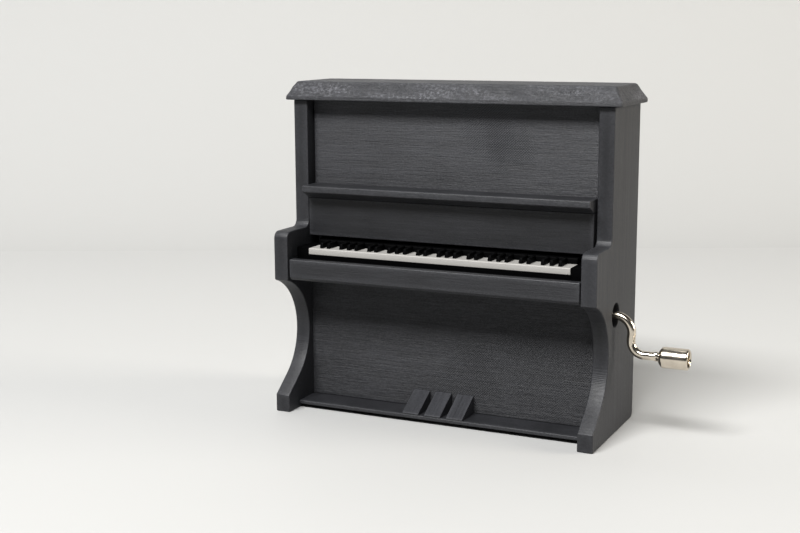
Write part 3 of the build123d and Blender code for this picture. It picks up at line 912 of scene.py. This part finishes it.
def build_wire_head(low_z):
    """Turned head: the end of the wire, spread to a flat dome inside the knob's cup."""
    low, high = case_mm("knob_rivet")
    profile = np.array([
        (low[0], 0.02), (low[0], 1.7), (low[0] + 0.1, 1.8), (high[0] - 0.45, 1.8),
        (high[0] - 0.2, 1.65), (high[0] - 0.05, 1.2), (high[0], 0.6), (high[0] - 0.05, 0.02),
    ])
    return build_turned("wire_end_head", profile, low_z, HEAD_SIDES, capped=True)


class PIANO_OT_crank(bpy.types.Operator):
    """Build the bent wire crank, its turned knob and the spread wire end"""

    bl_idname = "piano.crank"
    bl_label = "Crank and knob"

    def execute(self, context):
        low, high = case_mm("knob")
        low_z = CRANK_Z - CRANK_DROP
        wire = build_wire(low_z, low[0])
        lay_on(wire, "crank", "crank", material_for("nickel"))
        knob = build_knob(low_z, low[0], high[0], (high[2] - low[2]) / 2)
        lay_on(knob, "knob", "knob", material_for("nickel"))
        head = build_wire_head(low_z)
        lay_on(head, "knob_rivet", "crank", material_for("nickel"))
        return {"FINISHED"}


# ---------------------------------------------------------------- CAD nodes that stay
KEPT = {
    "level": ("key_bed", "rear_posts", "back_panel"),
    "ebony": ("key_block",),
    "steel": ("back_screws", "frame_screws", "comb", "comb_screws", "arbor", "worm_shaft",
              "shaft_clip"),
    "brass": ("cylinder", "worm_wheel"),
    "zinc": ("movement_frame",),
}


class PIANO_OT_finishes(bpy.types.Operator):
    """Give the frame's own pieces their finishes"""

    bl_idname = "piano.finishes"
    bl_label = "Finishes of the kept pieces"

    def execute(self, context):
        for finish, names in KEPT.items():
            for name in names:
                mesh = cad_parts[name].data
                mesh.materials.clear()
                mesh.materials.append(material_for(finish))
        return {"FINISHED"}


# ---------------------------------------------------------------- stage
VIEW_YAW, VIEW_PITCH, VIEW_ROLL = math.radians(25.518), math.radians(10.431), -0.0049
VIEW_PLACE = np.array([166.233, -382.174, 127.461])
COVE_DEPTH, COVE_RADIUS = 330.0, 300.0
STAGE_REACH, WALL_HEIGHT = 8000.0, 1200.0
ROOM_COLOUR, ROOM_STRENGTH = (0.93, 0.95, 1.0, 1.0), 0.06
# name, place, target, size, share of the softbox's power, colour
SOFT_LIGHTS = (
    ("overhead_softbox", (-60.0, -930.0, 1240.0), (0.0, 0.0, 60.0),
     (1100.0, 420.0), 1.0, (1.0, 0.995, 0.985)),
    ("warm_side_glow", (1100.0, 350.0, 420.0), (40.0, 10.0, 50.0),
     (500.0, 500.0), 0.22, (1.0, 0.94, 0.84)),
    ("wall_wash", (-546.0, 216.0, 900.0), (-557.0, 354.0, 0.0),
     (1200.0, 300.0), 0.03, (1.0, 1.0, 0.99)),
)


def view_axes():
    """Forward, right and up of the camera from its yaw, downward pitch and roll."""
    forward = np.array([-math.sin(VIEW_YAW) * math.cos(VIEW_PITCH),
                        math.cos(VIEW_YAW) * math.cos(VIEW_PITCH), -math.sin(VIEW_PITCH)])
    right = np.cross(forward, (0.0, 0.0, 1.0))
    right /= np.linalg.norm(right)
    up = np.cross(right, forward)
    c, s = math.cos(VIEW_ROLL), math.sin(VIEW_ROLL)
    return forward, c * right + s * up, -s * right + c * up


def look_matrix(place, forward, right, up):
    """World matrix of a camera or light whose columns are right, up and backward."""
    matrix = Matrix.Identity(4)
    for row in range(3):
        matrix[row][0] = right[row]
        matrix[row][1] = up[row]
        matrix[row][2] = -forward[row]
        matrix[row][3] = place[row]
    return matrix


def aim(obj, place_mm, target_mm):
    """Points an object's -Z from one place at another, both in case millimetres."""
    place = np.array(place_mm) * MM + CASE_ORIGIN
    target = np.array(target_mm) * MM + CASE_ORIGIN
    forward = target - place
    forward /= np.linalg.norm(forward)
    right = np.cross(forward, (0.0, 0.0, 1.0))
    right /= np.linalg.norm(right)
    obj.matrix_world = look_matrix(place, forward, right, np.cross(right, forward))


def soft_light(name, place, target, size, power, colour):
    """Rectangular light at one place, aimed at another, all in case millimetres."""
    lamp = bpy.data.lights.new(name, "AREA")
    lamp.shape = "RECTANGLE"
    lamp.size, lamp.size_y = size[0] * MM, size[1] * MM
    lamp.energy = power
    lamp.color = colour
    obj = bpy.data.objects.new(name, lamp)
    bpy.context.scene.collection.objects.link(obj)
    aim(obj, place, target)


def stage_surface(name, profile, material):
    """Sheet: a (depth, height) profile carried sideways, turned about Z by the view's yaw."""
    side = np.linspace(-STAGE_REACH, STAGE_REACH, 3)
    c, s = math.cos(VIEW_YAW), math.sin(VIEW_YAW)
    across = np.array([c, s, 0.0])
    deep = np.array([-s, c, 0.0])
    points = (side[None, :, None] * across
              + profile[:, None, :1] * deep + profile[:, None, 1:] * np.array([0, 0, 1.0]))
    rows, columns = len(profile), len(side)
    r = np.arange(rows - 1)[:, None] * columns
    c = np.arange(columns - 1)[None, :]
    quads = np.stack([r + c, r + c + 1, r + columns + c + 1, r + columns + c], axis=2)
    piece = put_mesh(name, points.reshape(-1, 3), quads.reshape(-1, 4).tolist())
    piece.data.materials.append(material)


def stage_finish(name, tint, cloud_scale, shade, roughness, gloss):
    """Plain pale paint with faint wide clouds."""
    material, tree, shader = new_material(name)
    here = tree.nodes.new("ShaderNodeTexCoord").outputs["Object"]
    cloud = stretched_noise(tree, here, (cloud_scale,) * 3, detail=2.0)
    darker = tuple(v * shade for v in tint)
    tree.links.new(mixed(tree, cloud, darker, tint), shader.inputs["Base Color"])
    shader.inputs["Roughness"].default_value = roughness
    shader.inputs["Specular IOR Level"].default_value = gloss
    return material


class PIANO_OT_stage(bpy.types.Operator):
    """Set up the floor, wall, soft light and camera"""

    bl_idname = "piano.stage"
    bl_label = "Stage, light and camera"

    def execute(self, context):
        scene = context.scene
        stage = scene.piano_stage
        floor = stage_finish("pale_floor", tuple(stage.floor), 4.0, 0.985, 0.6, 0.15)
        wall = stage_finish("pale_wall", tuple(stage.wall), 3.0, 0.98, 0.8, 0.1)
        turn = np.linspace(0.0, math.pi / 2, 48)
        cove = np.stack([COVE_DEPTH + COVE_RADIUS * np.sin(turn),
                         COVE_RADIUS * (1 - np.cos(turn))], axis=1)
        flat = np.array([(-STAGE_REACH, 0.0), (COVE_DEPTH, 0.0)])
        stage_surface("floor", flat, floor)
        upright = np.vstack([cove, [(COVE_DEPTH + COVE_RADIUS, WALL_HEIGHT)]])
        stage_surface("wall", upright, wall)
        for name, place, target, size, share, colour in SOFT_LIGHTS:
            soft_light(name, place, target, size, share * stage.softbox, colour)

        world = bpy.data.worlds.new("soft_room")
        world.use_nodes = True
        background = world.node_tree.nodes["Background"]
        background.inputs["Color"].default_value = ROOM_COLOUR
        background.inputs["Strength"].default_value = ROOM_STRENGTH
        scene.world = world

        camera = bpy.data.cameras.new("view")
        camera.lens = stage.lens
        camera.sensor_width = 36.0
        camera.clip_start, camera.clip_end = 0.01, 40.0
        eye = bpy.data.objects.new("view", camera)
        scene.collection.objects.link(eye)
        eye.matrix_world = look_matrix(VIEW_PLACE * MM + CASE_ORIGIN, *view_axes())
        scene.camera = eye
        scene.view_settings.view_transform = "Standard"
        scene.view_settings.gamma = 0.85
        return {"FINISHED"}


# ---------------------------------------------------------------- sidebar
STEPS = (
    PIANO_OT_cheeks, PIANO_OT_lid, PIANO_OT_boards, PIANO_OT_pedals, PIANO_OT_keyboard,
    PIANO_OT_crank, PIANO_OT_finishes, PIANO_OT_stage,
)


class PIANO_PT_sidebar(bpy.types.Panel):
    """Lists the settings and the pieces"""

    bl_idname = "PIANO_PT_sidebar"
    bl_label = "Printed upright piano"
    bl_space_type = "VIEW_3D"
    bl_region_type = "UI"
    bl_category = "Piano"

    def draw(self, context):
        layout = self.layout
        for group in GROUPS:
            settings = getattr(context.scene, group)
            for key in settings.bl_rna.properties.keys():
                if key not in ("rna_type", "name"):
                    layout.prop(settings, key)
        for step in STEPS:
            layout.operator(step.bl_idname)


GROUPS = {
    "piano_print": PianoPrintSettings,
    "piano_keys": PianoKeySettings,
    "piano_metal": PianoMetalSettings,
    "piano_stage": PianoStageSettings,
}


def register():
    for group in GROUPS.values():
        bpy.utils.register_class(group)
    for name, group in GROUPS.items():
        setattr(bpy.types.Scene, name, bpy.props.PointerProperty(type=group))
    for cls in (*STEPS, PIANO_PT_sidebar):
        bpy.utils.register_class(cls)


def unregister():
    for cls in (PIANO_PT_sidebar, *reversed(STEPS)):
        bpy.utils.unregister_class(cls)
    for name, group in GROUPS.items():
        delattr(bpy.types.Scene, name)
        bpy.utils.unregister_class(group)


def main():
    register()
    bpy.ops.piano.cheeks()
    bpy.ops.piano.lid()
    bpy.ops.piano.boards()
    bpy.ops.piano.pedals()
    bpy.ops.piano.keyboard()
    bpy.ops.piano.crank()
    bpy.ops.piano.finishes()
    bpy.ops.piano.stage()


if __name__ == "__main__":
    main()
